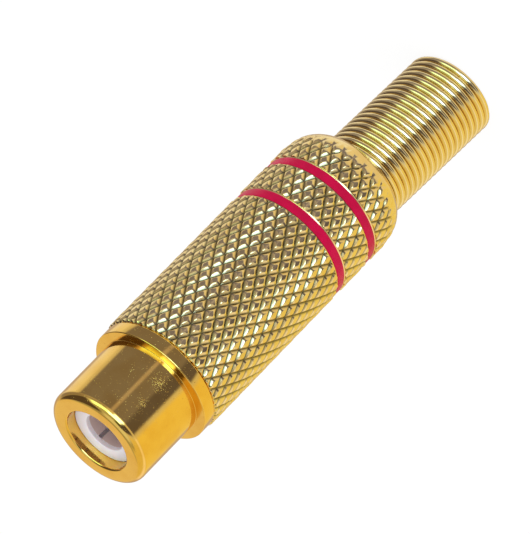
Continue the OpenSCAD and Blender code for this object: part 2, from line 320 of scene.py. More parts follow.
@dataclass(frozen=True)
class MouldedPlastic(Finish):
    """Moulded, pressed or drawn plastic with a faint grain."""

    name: str
    colour: Colour
    shade: Colour
    roughness: float
    grain_size: float = 0.12
    grain_depth: float = 0.002
    mottle_size: float = 1.5
    mottle_layers: float = 3.0
    mottle_edges: Span = (0.3, 0.75)
    spread: float = 0.08
    inner_light: float = 0.0
    inner_reach: float = 0.4
    clear: float = 0.0

    def dress(self, graph: Graph, shader: Node) -> None:
        """Sets a plastic with a faint mottle and grain."""
        place = graph.node("ShaderNodeTexCoord").outputs["Object"]
        mottle = graph.noise(place, self.mottle_size, self.mottle_layers)
        mottle = graph.smooth(mottle, *self.mottle_edges)
        grain = graph.times(graph.noise(place, self.grain_size), self.grain_depth * MM)
        graph.fill(shader, {
            "Base Color": graph.blend(mottle, self.colour, self.shade),
            "Roughness": graph.smooth(mottle, 0.0, 1.0, self.roughness, self.roughness + self.spread),
            "Subsurface Weight": self.inner_light, "Subsurface Scale": self.inner_reach * MM,
            "Transmission Weight": self.clear, "Normal": graph.bump(grain)})


@dataclass(frozen=True)
class Enamel(Finish):
    """Glossy enamel filled into a groove, with the fill's slow waves."""

    name: str
    colour: Colour
    deep: Colour
    roughness: float
    spread: float = 0.1
    wave_size: float = 0.9
    wave_edges: Span = (0.3, 0.7)
    wave_depth: float = 0.012
    gloss: float = 0.12

    def dress(self, graph: Graph, shader: Node) -> None:
        """Sets a glossy colour over slow waves."""
        place = graph.node("ShaderNodeTexCoord").outputs["Object"]
        wave = graph.noise(place, self.wave_size)
        graph.fill(shader, {
            "Base Color": graph.blend(graph.smooth(wave, *self.wave_edges), self.colour, self.deep),
            "Roughness": graph.smooth(wave, *self.wave_edges, self.roughness, self.roughness + self.spread),
            "Specular IOR Level": self.gloss,
            "Normal": graph.bump(graph.times(wave, self.wave_depth * MM))})


FINISHES: dict[Slot, Finish] = {
    Slot.GOLD: PlatedMetal(
        "polished_gold", (0.88, 0.56, 0.13), (0.82, 0.49, 0.10), 0.09, 0.04,
        scuffs=(Scuff(-0.3, -4.14, 36.1, 1.3), Scuff(-0.4, -4.14, 38.2, 0.9), Scuff(1.7, -3.8, 36.7, 0.4))),
    Slot.KNURLED: PlatedMetal(
        "knurled_gold", (0.88, 0.67, 0.30), (0.81, 0.59, 0.24), 0.15,
        # The dark groove colour is painted shade in the knurl's grooves.
        line_depth=0.0004, pit_depth=0.003, groove_shade_colour=(0.12, 0.11, 0.05)),
    Slot.TAG: PlatedMetal("tag_gold", (0.80, 0.56, 0.18), (0.70, 0.46, 0.13), 0.24, line_depth=0.0),
    Slot.CONTACT: MouldedPlastic("dull_contact", (0.66, 0.51, 0.49), (0.58, 0.44, 0.42), 0.55),
    Slot.SPRING: PlatedMetal(
        "spring_gold", (0.86, 0.67, 0.31), (0.80, 0.60, 0.26), 0.11, 0.05, line_depth=0.0, pit_depth=0.002),
    Slot.NYLON: MouldedPlastic("white_nylon", (0.84, 0.80, 0.87), (0.79, 0.75, 0.83), 0.42, inner_light=0.15),
    Slot.FIBRE: MouldedPlastic("brown_fibre", (0.30, 0.13, 0.07), (0.22, 0.09, 0.05), 0.70, grain_size=0.08),
    Slot.SLEEVE: MouldedPlastic("clear_sleeve", (0.86, 0.88, 0.89), (0.82, 0.85, 0.87), 0.18, clear=0.6),
    Slot.ENAMEL: Enamel("crimson_enamel", (0.62, 0.002, 0.062), (0.54, 0.001, 0.05), 0.26),
}


class Rule:
    """A geometry node tree with named inputs. It runs once on a piece, which then keeps a plain mesh."""

    def __init__(self, name: str) -> None:
        """Makes an empty tree with geometry in and out, and a material named Finish.

        Args:
            name: The tree's name.
        """
        self.tree = bpy.data.node_groups.new(name, "GeometryNodeTree")
        self.graph = Graph(self.tree)
        self.source = self.graph.node("NodeGroupInput")
        self.piece, = self.sizes("Geometry", kind="Geometry")
        self.finish, = self.sizes("Finish", kind="Material")
        self.tree.interface.new_socket("Geometry", in_out="OUTPUT", socket_type="NodeSocketGeometry")
        self.spot = self.graph.node("GeometryNodeInputPosition").outputs[0]

    def sizes(self, *names: str, kind: str = "Float") -> list[Socket]:
        """Adds named inputs.

        Args:
            names: The inputs' names.
            kind: What they hold.

        Returns:
            The sockets that give their values.
        """
        for name in names:
            self.tree.interface.new_socket(name, in_out="INPUT", socket_type=f"NodeSocket{kind}")
        return [self.source.outputs[name] for name in names]

    def marks(self, name: str) -> Socket:
        """Reads the attribute that holds an outline's marks."""
        made = self.graph.node("GeometryNodeInputNamedAttribute", {"Name": name}, data_type="FLOAT")
        return made.outputs[0]

    def sink(self, geometry: Socket, depth: Socket) -> None:
        """Moves points towards the axis, and ends the tree.

        Args:
            geometry: The turned piece.
            depth: How far each point moves, in metres.
        """
        graph = self.graph
        x, y, z = graph.parts(self.spot)
        radius = graph.radius(x, y)
        scale = graph.over(graph.minus(radius, depth), radius)
        place = graph.vector(graph.times(x, scale), graph.times(y, scale), z)
        moved = graph.node("GeometryNodeSetPosition", {"Geometry": geometry, "Position": place})
        self.close(moved.outputs[0])

    def close(self, geometry: Socket) -> None:
        """Ends the tree in Realize Instances and Set Material."""
        real = self.graph.node("GeometryNodeRealizeInstances", {0: geometry})
        dress = self.graph.node("GeometryNodeSetMaterial", {
            "Geometry": real.outputs[0], "Material": self.finish})
        self.graph.node("NodeGroupOutput", {0: dress.outputs[0]})

    def run(self, piece: Object, **values: object) -> None:
        """Runs the tree on a piece and keeps the result as its mesh.

        Args:
            piece: The object that takes the modifier for a moment.
            values: The named inputs' values, with underscores for spaces.
        """
        modifier = piece.modifiers.new(self.tree.name, "NODES")
        modifier.node_group = self.tree
        for item in self.tree.interface.items_tree:
            key = item.name.replace(" ", "_").lower()
            if item.in_out == "INPUT" and key in values:
                modifier[item.identifier] = values[key]
        bpy.context.view_layer.update()
        shaped = piece.evaluated_get(bpy.context.evaluated_depsgraph_get())
        mesh = bpy.data.meshes.new_from_object(shaped)
        piece.modifiers.clear()
        piece.data = mesh


@dataclass
class Outline:
    """Closed outline of a turned piece: up its outside, in at the top and down its bore."""

    points: list[Point] = field(default_factory=list)
    marks: list[float] = field(default_factory=list)

    def to(self, radius: float, height: float, mark: float = 0.0) -> "Outline":
        """Adds one point.

        Args:
            radius: Distance from the axis.
            height: Height along the axis.
            mark: Weight that a rule reads from this row.

        Returns:
            The outline itself.
        """
        self.points.append((radius, height))
        self.marks.append(mark)
        return self

    def arc(self, centre: Point, radius: float, start: float, end: float, steps: int) -> "Outline":
        """Adds an arc.

        Args:
            centre: The arc's centre.
            radius: Its radius.
            start: Its first angle in degrees, 0 outwards and 90 up.
            end: Its last angle in degrees.
            steps: Number of chords.

        Returns:
            The outline itself.
        """
        for i in range(steps + 1):
            a = math.radians(start + (end - start) * i / steps)
            self.to(centre[0] + radius * math.cos(a), centre[1] + radius * math.sin(a))
        return self

    def turn(self, name: str, segments: int, mark_name: str = "", cell: Span | None = None,
             half_cells: int = 0) -> Object:
        """Turns the outline into a closed mesh.

        Args:
            name: The object's name.
            segments: Number of steps round the axis.
            mark_name: Name of the attribute that carries the marks, if a rule needs them.
            cell: Height of the first row of half diamonds and the height of one, where marked rows
                are cut into triangles along the grooves.
            half_cells: Number of half diamonds round the axis.

        Returns:
            The new object, linked to the scene.
        """
        rows = len(self.points)
        angles = [FULL_TURN * j / segments for j in range(segments)]
        turns = [(math.cos(angle), math.sin(angle)) for angle in angles]
        places = [(r * c * MM, r * s * MM, z * MM) for r, z in self.points for c, s in turns]
        faces: list[tuple[int, ...]] = []
        for i in range(rows):
            low, high = i * segments, (i + 1) % rows * segments
            cut = cell is not None and self.marks[i] > 0 and self.marks[(i + 1) % rows] > 0
            band = 0
            if cut:
                middle = (self.points[i][1] + self.points[(i + 1) % rows][1]) / 2
                band = math.floor((middle - cell[0]) / cell[1])
            for j in range(segments):
                a, b = low + j, low + (j + 1) % segments
                c, d = high + j, high + (j + 1) % segments
                if not cut:
                    faces.append((a, b, d, c))
                elif (band + j * half_cells // segments) % 2 == 0:
                    faces += [(a, b, d), (a, d, c)]
                else:
                    faces += [(a, b, c), (b, d, c)]
        mesh = bpy.data.meshes.new(name)
        mesh.from_pydata(places, [], faces)
        if mark_name:
            layer = mesh.attributes.new(mark_name, "FLOAT", "POINT")
            layer.data.foreach_set("value", [m for m in self.marks for _ in range(segments)])
        mesh.update()
        return link(name, mesh)


def link(name: str, data: ID | None) -> Object:
    """Makes an object of some data, and links it to the scene."""
    made = bpy.data.objects.new(name, data)
    bpy.context.scene.collection.objects.link(made)
    return made


def shade(piece: Object, sharp: float) -> None:
    """Shades a piece smooth, apart from edges that turn by more than an angle in degrees."""
    mesh = piece.data
    mesh.polygons.foreach_set("use_smooth", [True] * len(mesh.polygons))
    mesh.set_sharp_from_angle(angle=math.radians(sharp))
    mesh.update()


def heights(node: str) -> tuple[float, float, float]:
    """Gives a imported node's lowest and highest point and its largest radius, in millimetres."""
    low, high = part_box(node)
    return low.z / MM, high.z / MM, high.x / MM


class Dresser:
    """Makes each finish once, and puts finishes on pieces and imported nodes."""

    def __init__(self) -> None:
        """Builds all the finishes."""
        self.materials = {slot: finish.build() for slot, finish in FINISHES.items()}

    def put(self, piece: Object, slot: Slot) -> None:
        """Gives a mesh the finish of a slot."""
        piece.data.materials.clear()
        piece.data.materials.append(self.materials[slot])

    def replace(self, piece: Object, sharp: float, slot: Slot, body: Body, node: str) -> None:
        """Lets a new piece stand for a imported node.

        Args:
            piece: The finished object.
            sharp: Edges that turn by more degrees stay sharp.
            slot: The slot that names its finish.
            body: The body that it rides on.
            node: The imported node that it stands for.
        """
        shade(piece, sharp)
        self.put(piece, slot)
        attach(piece, body.value)
        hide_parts(node)
        log.info("%s stands for %s, with %d faces", piece.name, node, len(piece.data.polygons))

    def keep(self, node: str, slot: Slot) -> None:
        """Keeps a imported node's shape and gives it a finish."""
        self.put(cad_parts[node], slot)
        log.info("%s keeps its shape", node)


@dataclass
class SocketCore:
    """Barrel, flange and threaded neck, with the bush and the contact inside."""

    segments: int = 192
    arc_steps: int = 8
    edge_steps: int = 4
    body_sharp: float = 32
    bush_sharp: float = 35
    barrel_r: float = 4.15
    barrel_len: float = 6.15
    mouth_round: float = 0.6
    mouth_bore_r: float = 2.67
    mouth_chamfer: float = 0.16
    root_fillet: float = 0.04
    flange_t: float = 1.1
    flange_chamfer: float = 0.08
    bore_step: float = 5.2
    relief_depth: float = 0.3
    relief_w: float = 0.45
    thread_r: float = 4.2
    thread_len: float = 4.0
    thread_chamfer: float = 0.25
    thread_pitch: float = 0.75
    thread_depth: float = 0.4
    thread_flank: Span = (0.05, 0.45)
    thread_fade: float = 6
    thread_rows: int = 8
    tail_r: float = 3.1
    rear_bore_r: float = 2.85
    tag_t: float = 0.4
    roll_out: float = 0.22
    roll_t: float = 0.3
    bush_recess: float = 0.93
    bush_round: float = 0.06
    bush_lip: float = 0.35
    bush_hole_r: float = 1.62
    bush_gap: float = 0.02
    pocket_r: float = 2.07
    collar_r: float = 2.3
    collar_t: float = 0.6

    def body(self) -> Object:
        """Builds the turned brass body, up to the cutting of its thread.

        Returns:
            The new object.
        """
        low, mouth, flange_r = heights("socket_body")
        flange_front = mouth - self.barrel_len
        flange_back = flange_front - self.flange_t
        neck_end = flange_back - self.thread_len
        roll_back = neck_end - self.tag_t - self.roll_t
        line = Outline()
        line.to(self.rear_bore_r, low).to(self.tail_r, low).to(self.tail_r + self.roll_out, roll_back)
        line.to(self.tail_r + self.roll_out, roll_back + self.roll_t).to(self.tail_r, roll_back + self.roll_t)
        line.to(self.tail_r, neck_end).to(self.thread_r - self.thread_chamfer, neck_end)
        self.neck(line, neck_end + self.thread_chamfer, flange_back - self.relief_w - self.thread_chamfer)
        line.to(self.thread_r - self.thread_chamfer, flange_back - self.relief_w)
        line.to(self.thread_r - self.relief_depth, flange_back - self.relief_w)
        line.to(self.thread_r - self.relief_depth, flange_back)
        self.flange(line, flange_r, flange_back, flange_front)
        fillet = (self.barrel_r + self.root_fillet, flange_front + self.root_fillet)
        line.arc(fillet, self.root_fillet, 270, 180, self.arc_steps)
        edge = (self.barrel_r - self.mouth_round, mouth - self.mouth_round)
        line.arc(edge, self.mouth_round, 0, 90, self.arc_steps)
        lip = self.mouth_bore_r + self.mouth_chamfer
        line.arc((lip, mouth - self.mouth_chamfer), self.mouth_chamfer, 90, 180, self.arc_steps)
        line.to(self.mouth_bore_r, mouth - self.bore_step).to(self.rear_bore_r, mouth - self.bore_step)
        return line.turn("turned_body", self.segments, THREAD_MARK)

    def neck(self, line: Outline, low: float, high: float) -> None:
        """Adds the rows of the threaded neck.

        Args:
            line: The body's outline.
            low: Where the full thread starts.
            high: Where it ends.
        """
        rows = round((high - low) / self.thread_pitch * self.thread_rows)
        for i in range(rows + 1):
            share = i / rows
            fade = min(1.0, self.thread_fade * min(share, 1 - share))
            line.to(self.thread_r, low + (high - low) * share, fade)

    def flange(self, line: Outline, radius: float, low: float, high: float) -> None:
        """Adds the flange with its eased edges.

        Args:
            line: The body's outline.
            radius: The flange's radius.
            low: Its back face.
            high: Its front face.
        """
        ease = self.flange_chamfer
        line.arc((radius - ease, low + ease), ease, 270, 360, self.edge_steps)
        line.arc((radius - ease, high - ease), ease, 0, 90, self.edge_steps)

    def thread(self, piece: Object, finish: Material) -> None:
        """Cuts a right-hand thread into the marked rows by a rule.

        Args:
            piece: The turned body.
            finish: Its material.
        """
        rule = Rule("thread_rule")
        pitch, depth = rule.sizes("Pitch", "Depth")
        graph = rule.graph
        x, y, z = graph.parts(rule.spot)
        ridge = graph.math("PINGPONG", graph.minus(graph.over(z, pitch), graph.turns(x, y)), 0.5)
        cut = graph.times(depth, rule.marks(THREAD_MARK), graph.smooth(ridge, *self.thread_flank))
        rule.sink(rule.piece, cut)
        rule.run(piece, finish=finish, pitch=self.thread_pitch * MM, depth=self.thread_depth * MM)

    def bush(self) -> Object:
        """Builds the nylon bush that shows in the mouth.

        Returns:
            The new object.
        """
        low, face, _ = heights("insulator")
        front_r = self.mouth_bore_r - self.bush_gap
        back_r = self.rear_bore_r - self.bush_gap
        step = face + self.bush_recess - self.bore_step - self.bush_gap
        ease = self.bush_round
        line = Outline()
        line.to(self.collar_r, low).to(back_r, low).to(back_r, step).to(front_r, step)
        line.arc((front_r - ease, face - ease), ease, 0, 90, self.edge_steps)
        line.arc((self.bush_hole_r + ease, face - ease), ease, 90, 180, self.edge_steps)
        line.to(self.bush_hole_r, face - self.bush_lip).to(self.pocket_r, face - self.bush_lip)
        line.to(self.pocket_r, low + self.collar_t).to(self.collar_r, low + self.collar_t)
        return line.turn("nylon_bush", self.segments)

    def build(self, dresser: Dresser) -> None:
        """Builds the core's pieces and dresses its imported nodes.

        Args:
            dresser: The maker of finishes.
        """
        body = self.body()
        self.thread(body, dresser.materials[Slot.GOLD])
        dresser.replace(body, self.body_sharp, Slot.GOLD, Body.CORE, "socket_body")
        dresser.replace(self.bush(), self.bush_sharp, Slot.NYLON, Body.CORE, "insulator")
        dresser.keep("centre_contact", Slot.CONTACT)
        dresser.keep("insulating_disc", Slot.FIBRE)
        dresser.keep("ground_clamp", Slot.TAG)


@dataclass
class ScrewShell:
    """Knurled shell with two enamel rings let into it."""

    sharp: float = 40
    steps_per_diamond: int = 12
    knurl_count: int = 32
    knurl_pitch: float = 1.55
    knurl_phase: int = -3
    knurl_depth: float = 0.17
    valley_round: float = 0.05
    flank_share: float = 0.52
    ridge_round: float = 0.12
    unevenness: float = 0.012
    uneven_size: float = 1.1
    seed: float = 3.0
    front_band: float = 0.2
    band_drop: float = 0.1
    front_chamfer: float = 0.12
    chamfer_marks: Span = (0.7, 0.3)
    shoulder_r: float = 2.2
    shoulder_len: float = 1.7
    shoulder_steps: int = 12
    run_out_rows: int = 8
    fade_rows: int = 4
    lip_t: float = 1.2
    lip_hole_r: float = 4.08
    lip_round: float = 0.08
    ring_land: float = 0.12
    bore_r: float = 4.35
    thread_bore_r: float = 4.25
    thread_bore_len: float = 4.6
    ring_floor_r: float = 4.70
    groove_ease: float = 0.05
    rear_ease: float = 0.09
    ring_dome: float = 0.02
    ring_flatness: int = 4
    ring_steps: int = 8
    ring_segments: int = 256
    ring_sharp: float = 50

    def __post_init__(self) -> None:
        """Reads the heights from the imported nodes."""
        self.low, self.high, self.tip_r = heights("shell")
        self.rings = [heights(node)[:2] for node in ("ring_rear", "ring_front")]
        self.band_r = self.tip_r - self.band_drop
        self.knurl_low = self.low + self.shoulder_len
        knurl_high = self.high - self.front_band
        rows = round((knurl_high - self.knurl_low) / self.knurl_pitch * 2)
        self.half_pitch = (knurl_high - self.knurl_low) / rows
        self.step = 2 * self.half_pitch / self.steps_per_diamond
        self.knurl_start = self.knurl_low + self.knurl_phase * self.step

    def outside(self, line: Outline) -> None:
        """Adds the blank that the knurl is rolled into, from the rear shoulder to the front edge.

        Args:
            line: The shell's outline.
        """
        step = self.step
        centre = (self.band_r - self.shoulder_r, self.knurl_low)
        reach = math.degrees(math.asin(self.shoulder_len / self.shoulder_r))
        run_out = math.degrees(math.asin(self.run_out_rows * step / self.shoulder_r))
        line.arc(centre, self.shoulder_r, -reach, -run_out, self.shoulder_steps)
        for index in range(self.run_out_rows - 1, -1, -1):
            drop = index * step
            radius = centre[0] + math.sqrt(self.shoulder_r ** 2 - drop ** 2)
            line.to(radius, self.knurl_low - drop, 1 - index / self.run_out_rows)
        stops = [(low - self.ring_land, high + self.ring_land) for low, high in self.rings]
        rows = round((self.high - self.front_chamfer - self.knurl_low) / step)
        for index in range(1, rows):
            z = self.knurl_low + index * step
            if any(low - step / 3 < z < high + step / 3 for low, high in stops):
                continue
            rise = min(1.0, index / self.fade_rows)
            line.to(self.band_r + (self.tip_r - self.band_r) * rise, z, 1.0)
            for (low, _), (ring_low, ring_high) in zip(stops, self.rings):
                if z <= low - step / 3 < z + step:
                    self.groove(line, ring_low, ring_high)
        ease, (outer, inner) = self.front_chamfer, self.chamfer_marks
        line.to(self.tip_r, self.high - ease, 1.0)
        line.to(self.tip_r - ease, self.high - ease / 3, outer).to(self.tip_r - 2 * ease, self.high, inner)

    def groove(self, line: Outline, low: float, high: float) -> None:
        """Adds one ring groove with eased edges, between two plain lands.

        Args:
            line: The shell's outline.
            low: The groove's lower wall.
            high: Its upper wall.
        """
        ease = self.groove_ease
        line.to(self.tip_r, low - self.ring_land, 1.0).to(self.band_r, low - self.ring_land)
        line.to(self.band_r, low - self.rear_ease).to(self.band_r - ease, low)
        line.to(self.ring_floor_r, low).to(self.ring_floor_r, high)
        line.to(self.band_r - ease, high).to(self.band_r, high + ease)
        line.to(self.band_r, high + self.ring_land).to(self.tip_r, high + self.ring_land, 1.0)

    def inside(self, line: Outline) -> None:
        """Adds the front edge's inner side, the bores and the lip's hole.

        Args:
            line: The shell's outline.
        """
        thread_end = self.high - self.thread_bore_len
        lip_front = self.low + self.lip_t
        line.to(self.thread_bore_r + self.front_chamfer, self.high)
        line.to(self.thread_bore_r, self.high - self.front_chamfer)
        line.to(self.thread_bore_r, thread_end).to(self.bore_r, thread_end)
        line.to(self.bore_r, lip_front).to(self.lip_hole_r, lip_front)
        line.to(self.lip_hole_r, self.low + self.lip_round)

    def roll(self, piece: Object, finish: Material) -> None:
        """Rolls the diamond knurl into the marked rows by a rule.

        Args:
            piece: The turned blank.
            finish: Its material.
        """
        rule = Rule("knurl_rule")
        count, pitch, start, depth = rule.sizes("Count", "Pitch", "Start", "Depth")
        bed, flank, ease = rule.sizes("Valley Round", "Flank Share", "Ridge Round")
        rough, seed = rule.sizes("Unevenness", "Seed")
        graph = rule.graph
        x, y, z = graph.parts(rule.spot)
        mark = rule.marks(KNURL_MARK)
        around = graph.times(graph.turns(x, y), count)
        along = graph.over(graph.minus(z, start), pitch)
        sides = [graph.math("PINGPONG", side, 0.5)
                 for side in (graph.total(around, along), graph.minus(around, along))]
        slope = graph.times(graph.math("SMOOTH_MIN", *sides, ease), 2.0)
        valley = graph.math("SMOOTH_MAX", graph.over(slope, flank), bed, bed)
        height = graph.math("SMOOTH_MIN", valley, 1.0, graph.times(ease, 2.0))
        blotches = {"Vector": rule.spot, "W": seed, "Scale": 1.0 / (self.uneven_size * MM)}
        wobble = graph.node("ShaderNodeTexNoise", blotches, noise_dimensions="4D")
        uneven = graph.times(graph.minus(wobble.outputs[0], 0.5), rough)
        pressed = graph.times(graph.minus(1.0, height), depth)
        cut = graph.times(graph.math("MAXIMUM", graph.total(pressed, uneven), 0.0), mark)
        # The stored slope lets the finish paint shade into the knurl's grooves.
        keep = graph.node("GeometryNodeStoreNamedAttribute", {
            "Geometry": rule.piece, "Name": KNURL_HEIGHT,
            "Value": graph.math("MAXIMUM", slope, graph.minus(1.0, mark))}, data_type="FLOAT", domain="POINT")
        rule.sink(keep.outputs[0], cut)
        rule.run(
            piece, finish=finish, count=float(self.knurl_count), pitch=2 * self.half_pitch * MM,
            start=self.knurl_start * MM, depth=self.knurl_depth * MM,
            valley_round=self.valley_round, flank_share=self.flank_share, ridge_round=self.ridge_round,
            unevenness=self.unevenness * MM, seed=self.seed)

    def ring(self, node: str) -> Object:
        """Builds one enamel ring, slightly domed and drawn in at its edges.

        Args:
            node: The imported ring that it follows.

        Returns:
            The new object.
        """
        low, high, radius = heights(node)
        line = Outline().to(self.ring_floor_r, low)
        edge = radius - self.ring_dome
        for i in range(self.ring_steps + 1):
            share = i / self.ring_steps
            rise = 1 - (2 * share - 1) ** self.ring_flatness
            line.to(edge + self.ring_dome * rise, low + (high - low) * share)
        line.to(self.ring_floor_r, high)
        return line.turn(f"{node}_enamel", self.ring_segments)

    def build(self, dresser: Dresser) -> None:
        """Builds the shell and its rings.

        Args:
            dresser: The maker of finishes.
        """
        line = Outline()
        self.outside(line)
        self.inside(line)
        segments = self.steps_per_diamond * self.knurl_count
        shell = line.turn("knurled_shell", segments, KNURL_MARK, (self.knurl_start, self.half_pitch),
                          2 * self.knurl_count)
        self.roll(shell, dresser.materials[Slot.KNURLED])
        dresser.replace(shell, self.sharp, Slot.KNURLED, Body.SHELL, "shell")
        for node in ("ring_front", "ring_rear"):
            dresser.replace(self.ring(node), self.ring_sharp, Slot.ENAMEL, Body.SHELL, node)


@dataclass
class CableGuard:
    """Close-wound spring with a ground end, and the sleeve round the solder joints."""

    sharp: float = 60
    wire_r: float = 0.275
    coil_gap: float = 0.025
    visible_r: float = 3.56
    ground_part: float = 0.25
    taper_turns: float = 0.75
    base_turns: float = 2.0
    sides: int = 14
    steps_per_turn: int = 60
    ground_squeeze: float = 0.02
    shift: float = 0.42
    lean: float = 0.036

    def wind(self, finish: Material) -> Object:
        """Winds the spring by a rule: a wire swept along a helix that widens near its inner end.

        Args:
            finish: The spring's material.

        Returns:
            The new object.
        """
        _, top, base_out = heights("spring_guard")
        pitch = 2 * self.wire_r + self.coil_gap
        start = -2 * self.wire_r * self.ground_part
        turns = (top - self.wire_r - start) / pitch
        rule = Rule("spring_rule")
        graph = rule.graph
        per_turn, count, sides = rule.sizes("Steps per Turn", "Steps", "Sides", kind="Int")
        rise, begin, wire, coil, base = rule.sizes("Pitch", "Start", "Wire", "Coil", "Base")
        widen, taper, shift, lean, lip = rule.sizes("Widen At", "Taper", "Shift", "Lean", "Lip")
        line = graph.node("GeometryNodeMeshLine", {"Count": count})
        index = graph.node("GeometryNodeInputIndex").outputs[0]
        turn = graph.over(index, per_turn)
        angle = graph.times(turn, FULL_TURN)
        share = graph.smooth(turn, widen, graph.total(widen, taper))
        radius = graph.total(coil, graph.times(graph.minus(base, coil), share))
        centre = graph.total(begin, graph.times(turn, rise))
        leaning = graph.total(shift, graph.times(graph.minus(lip, centre), lean))
        off = graph.times(leaning, graph.minus(1.0, share))
        place = graph.vector(
            graph.minus(graph.times(graph.math("COSINE", angle), radius), off),
            graph.times(graph.math("SINE", angle), radius), centre)
        path = graph.node("GeometryNodeSetPosition", {"Geometry": line.outputs[0], "Position": place})
        curve = graph.node("GeometryNodeMeshToCurve", {0: path.outputs[0]})
        upright = graph.node("GeometryNodeSetCurveNormal", {0: curve.outputs[0]}, mode="Z_UP")
        section = graph.node("GeometryNodeCurvePrimitiveCircle", {
            "Resolution": sides, "Radius": wire}, mode="RADIUS")
        sweep = graph.node("GeometryNodeCurveToMesh", {
            "Curve": upright.outputs[0], "Profile Curve": section.outputs[0], "Fill Caps": True})
        end_off = graph.total(shift, graph.times(lip, lean))
        rule.close(self.ground(rule, sweep.outputs[0], begin, rise, coil, wire, end_off))
        made = link("wound_spring", bpy.data.meshes.new("wound_spring"))
        rule.run(
            made, finish=finish, steps_per_turn=self.steps_per_turn,
            steps=round(turns * self.steps_per_turn) + 1, sides=self.sides,
            pitch=pitch * MM, start=start * MM, wire=self.wire_r * MM,
            coil=(self.visible_r - self.wire_r) * MM, base=(base_out - self.wire_r) * MM,
            widen_at=turns - self.base_turns - self.taper_turns, taper=self.taper_turns,
            shift=self.shift * MM, lean=self.lean, lip=heights("shell")[0] * MM)
        return made

    def ground(self, rule: Rule, wire_mesh: Socket, begin: Value, rise: Value, coil: Value,
               wire: Value, off: Value) -> Socket:
        """Grinds the first turn flat: what lies below the floor is pressed up and in to the cut's edges.

        Args:
            rule: The spring's rule.
            wire_mesh: The swept wire.
            begin: Height of the wire's centre at its first end.
            rise: Pitch of the coils.
            coil: Radius of the coils.
            wire: Radius of the wire.
            off: How far off the axis the first turn lies, towards -X.

        Returns:
            The ground mesh.
        """
        graph = rule.graph
        place_x, y, z = graph.parts(rule.spot)
        x = graph.total(place_x, off)
        turn = graph.math("FRACT", graph.total(graph.turns(x, y), 1.0))
        centre = graph.total(begin, graph.times(turn, rise))
        gap = graph.minus(graph.times(wire, wire), graph.times(centre, centre))
        half = graph.math("SQRT", graph.math("MAXIMUM", gap, 0.0))
        radius = graph.radius(x, y)
        inner, outer = graph.minus(coil, half), graph.total(coil, half)
        within = graph.math("MINIMUM", graph.math("MAXIMUM", radius, inner), outer)
        scale = graph.over(within, radius)
        pressed = graph.times(graph.total(z, wire), self.ground_squeeze)
        flat = graph.vector(
            graph.minus(graph.times(x, scale), off), graph.times(y, scale),
            graph.math("MAXIMUM", pressed, 0.0))
        ground = graph.node("GeometryNodeSetPosition", {
            "Geometry": wire_mesh, "Selection": graph.math("LESS_THAN", z, 0.0), "Position": flat})
        return ground.outputs[0]

    def build(self, dresser: Dresser) -> None:
        """Builds the spring and dresses the sleeve.

        Args:
            dresser: The maker of finishes.
        """
        spring = self.wind(dresser.materials[Slot.SPRING])
        dresser.replace(spring, self.sharp, Slot.SPRING, Body.GUARD, "spring_guard")
        dresser.keep("sleeve", Slot.SLEEVE)


@dataclass(frozen=True)
class Panel:
    """A soft-edged card or softbox round the part, by the way it lies in.

    All angles are in degrees. Azimuth 0 is towards the camera and grows towards -X, and low and high
    are elevations above the horizon.
    """

    azimuth: float
    half_width: float
    low: float
    high: float
    colour: Colour
    edge: float = 6.0

    def add(self, graph: Graph, around: Value, up: Value, behind: Colour | Socket) -> Socket:
        """Lays the panel over what lies behind it.

        Args:
            graph: The world's graph.
            around: Azimuth of the ray in degrees.
            up: Its elevation in degrees.
            behind: Colour without this panel.

        Returns:
            Colour with it.
        """
        off = graph.math("ABSOLUTE", graph.math("WRAP", graph.minus(around, self.azimuth), 180.0, -180.0))
        beside = graph.smooth(off, self.half_width - self.edge, self.half_width + self.edge, 1.0, 0.0)
        above = graph.smooth(up, self.low - self.edge, self.low + self.edge)
        under = graph.smooth(up, self.high - self.edge, self.high + self.edge, 1.0, 0.0)
        return graph.blend(graph.times(above, under, beside), behind, self.colour)


@dataclass(frozen=True)
class Lamp:
    """A square lamp that faces the part, by its place and side in millimetres and its power in watts."""

    name: str
    place: Place
    size: float
    power: float
    aim: Place = (0, 0, 20)

    def hang(self) -> None:
        """Adds the lamp, which neither the camera nor a mirrored ray sees."""
        data = bpy.data.lights.new(self.name, "AREA")
        data.size = self.size * MM
        data.energy = self.power
        lamp = link(self.name, data)
        spot = Vector(self.place) * MM
        aim = (Vector(self.aim) * MM - spot).to_track_quat("-Z", "Y")
        lamp.matrix_world = Matrix.LocRotScale(spot, aim, None)
        lamp.visible_camera = False
        lamp.visible_glossy = False


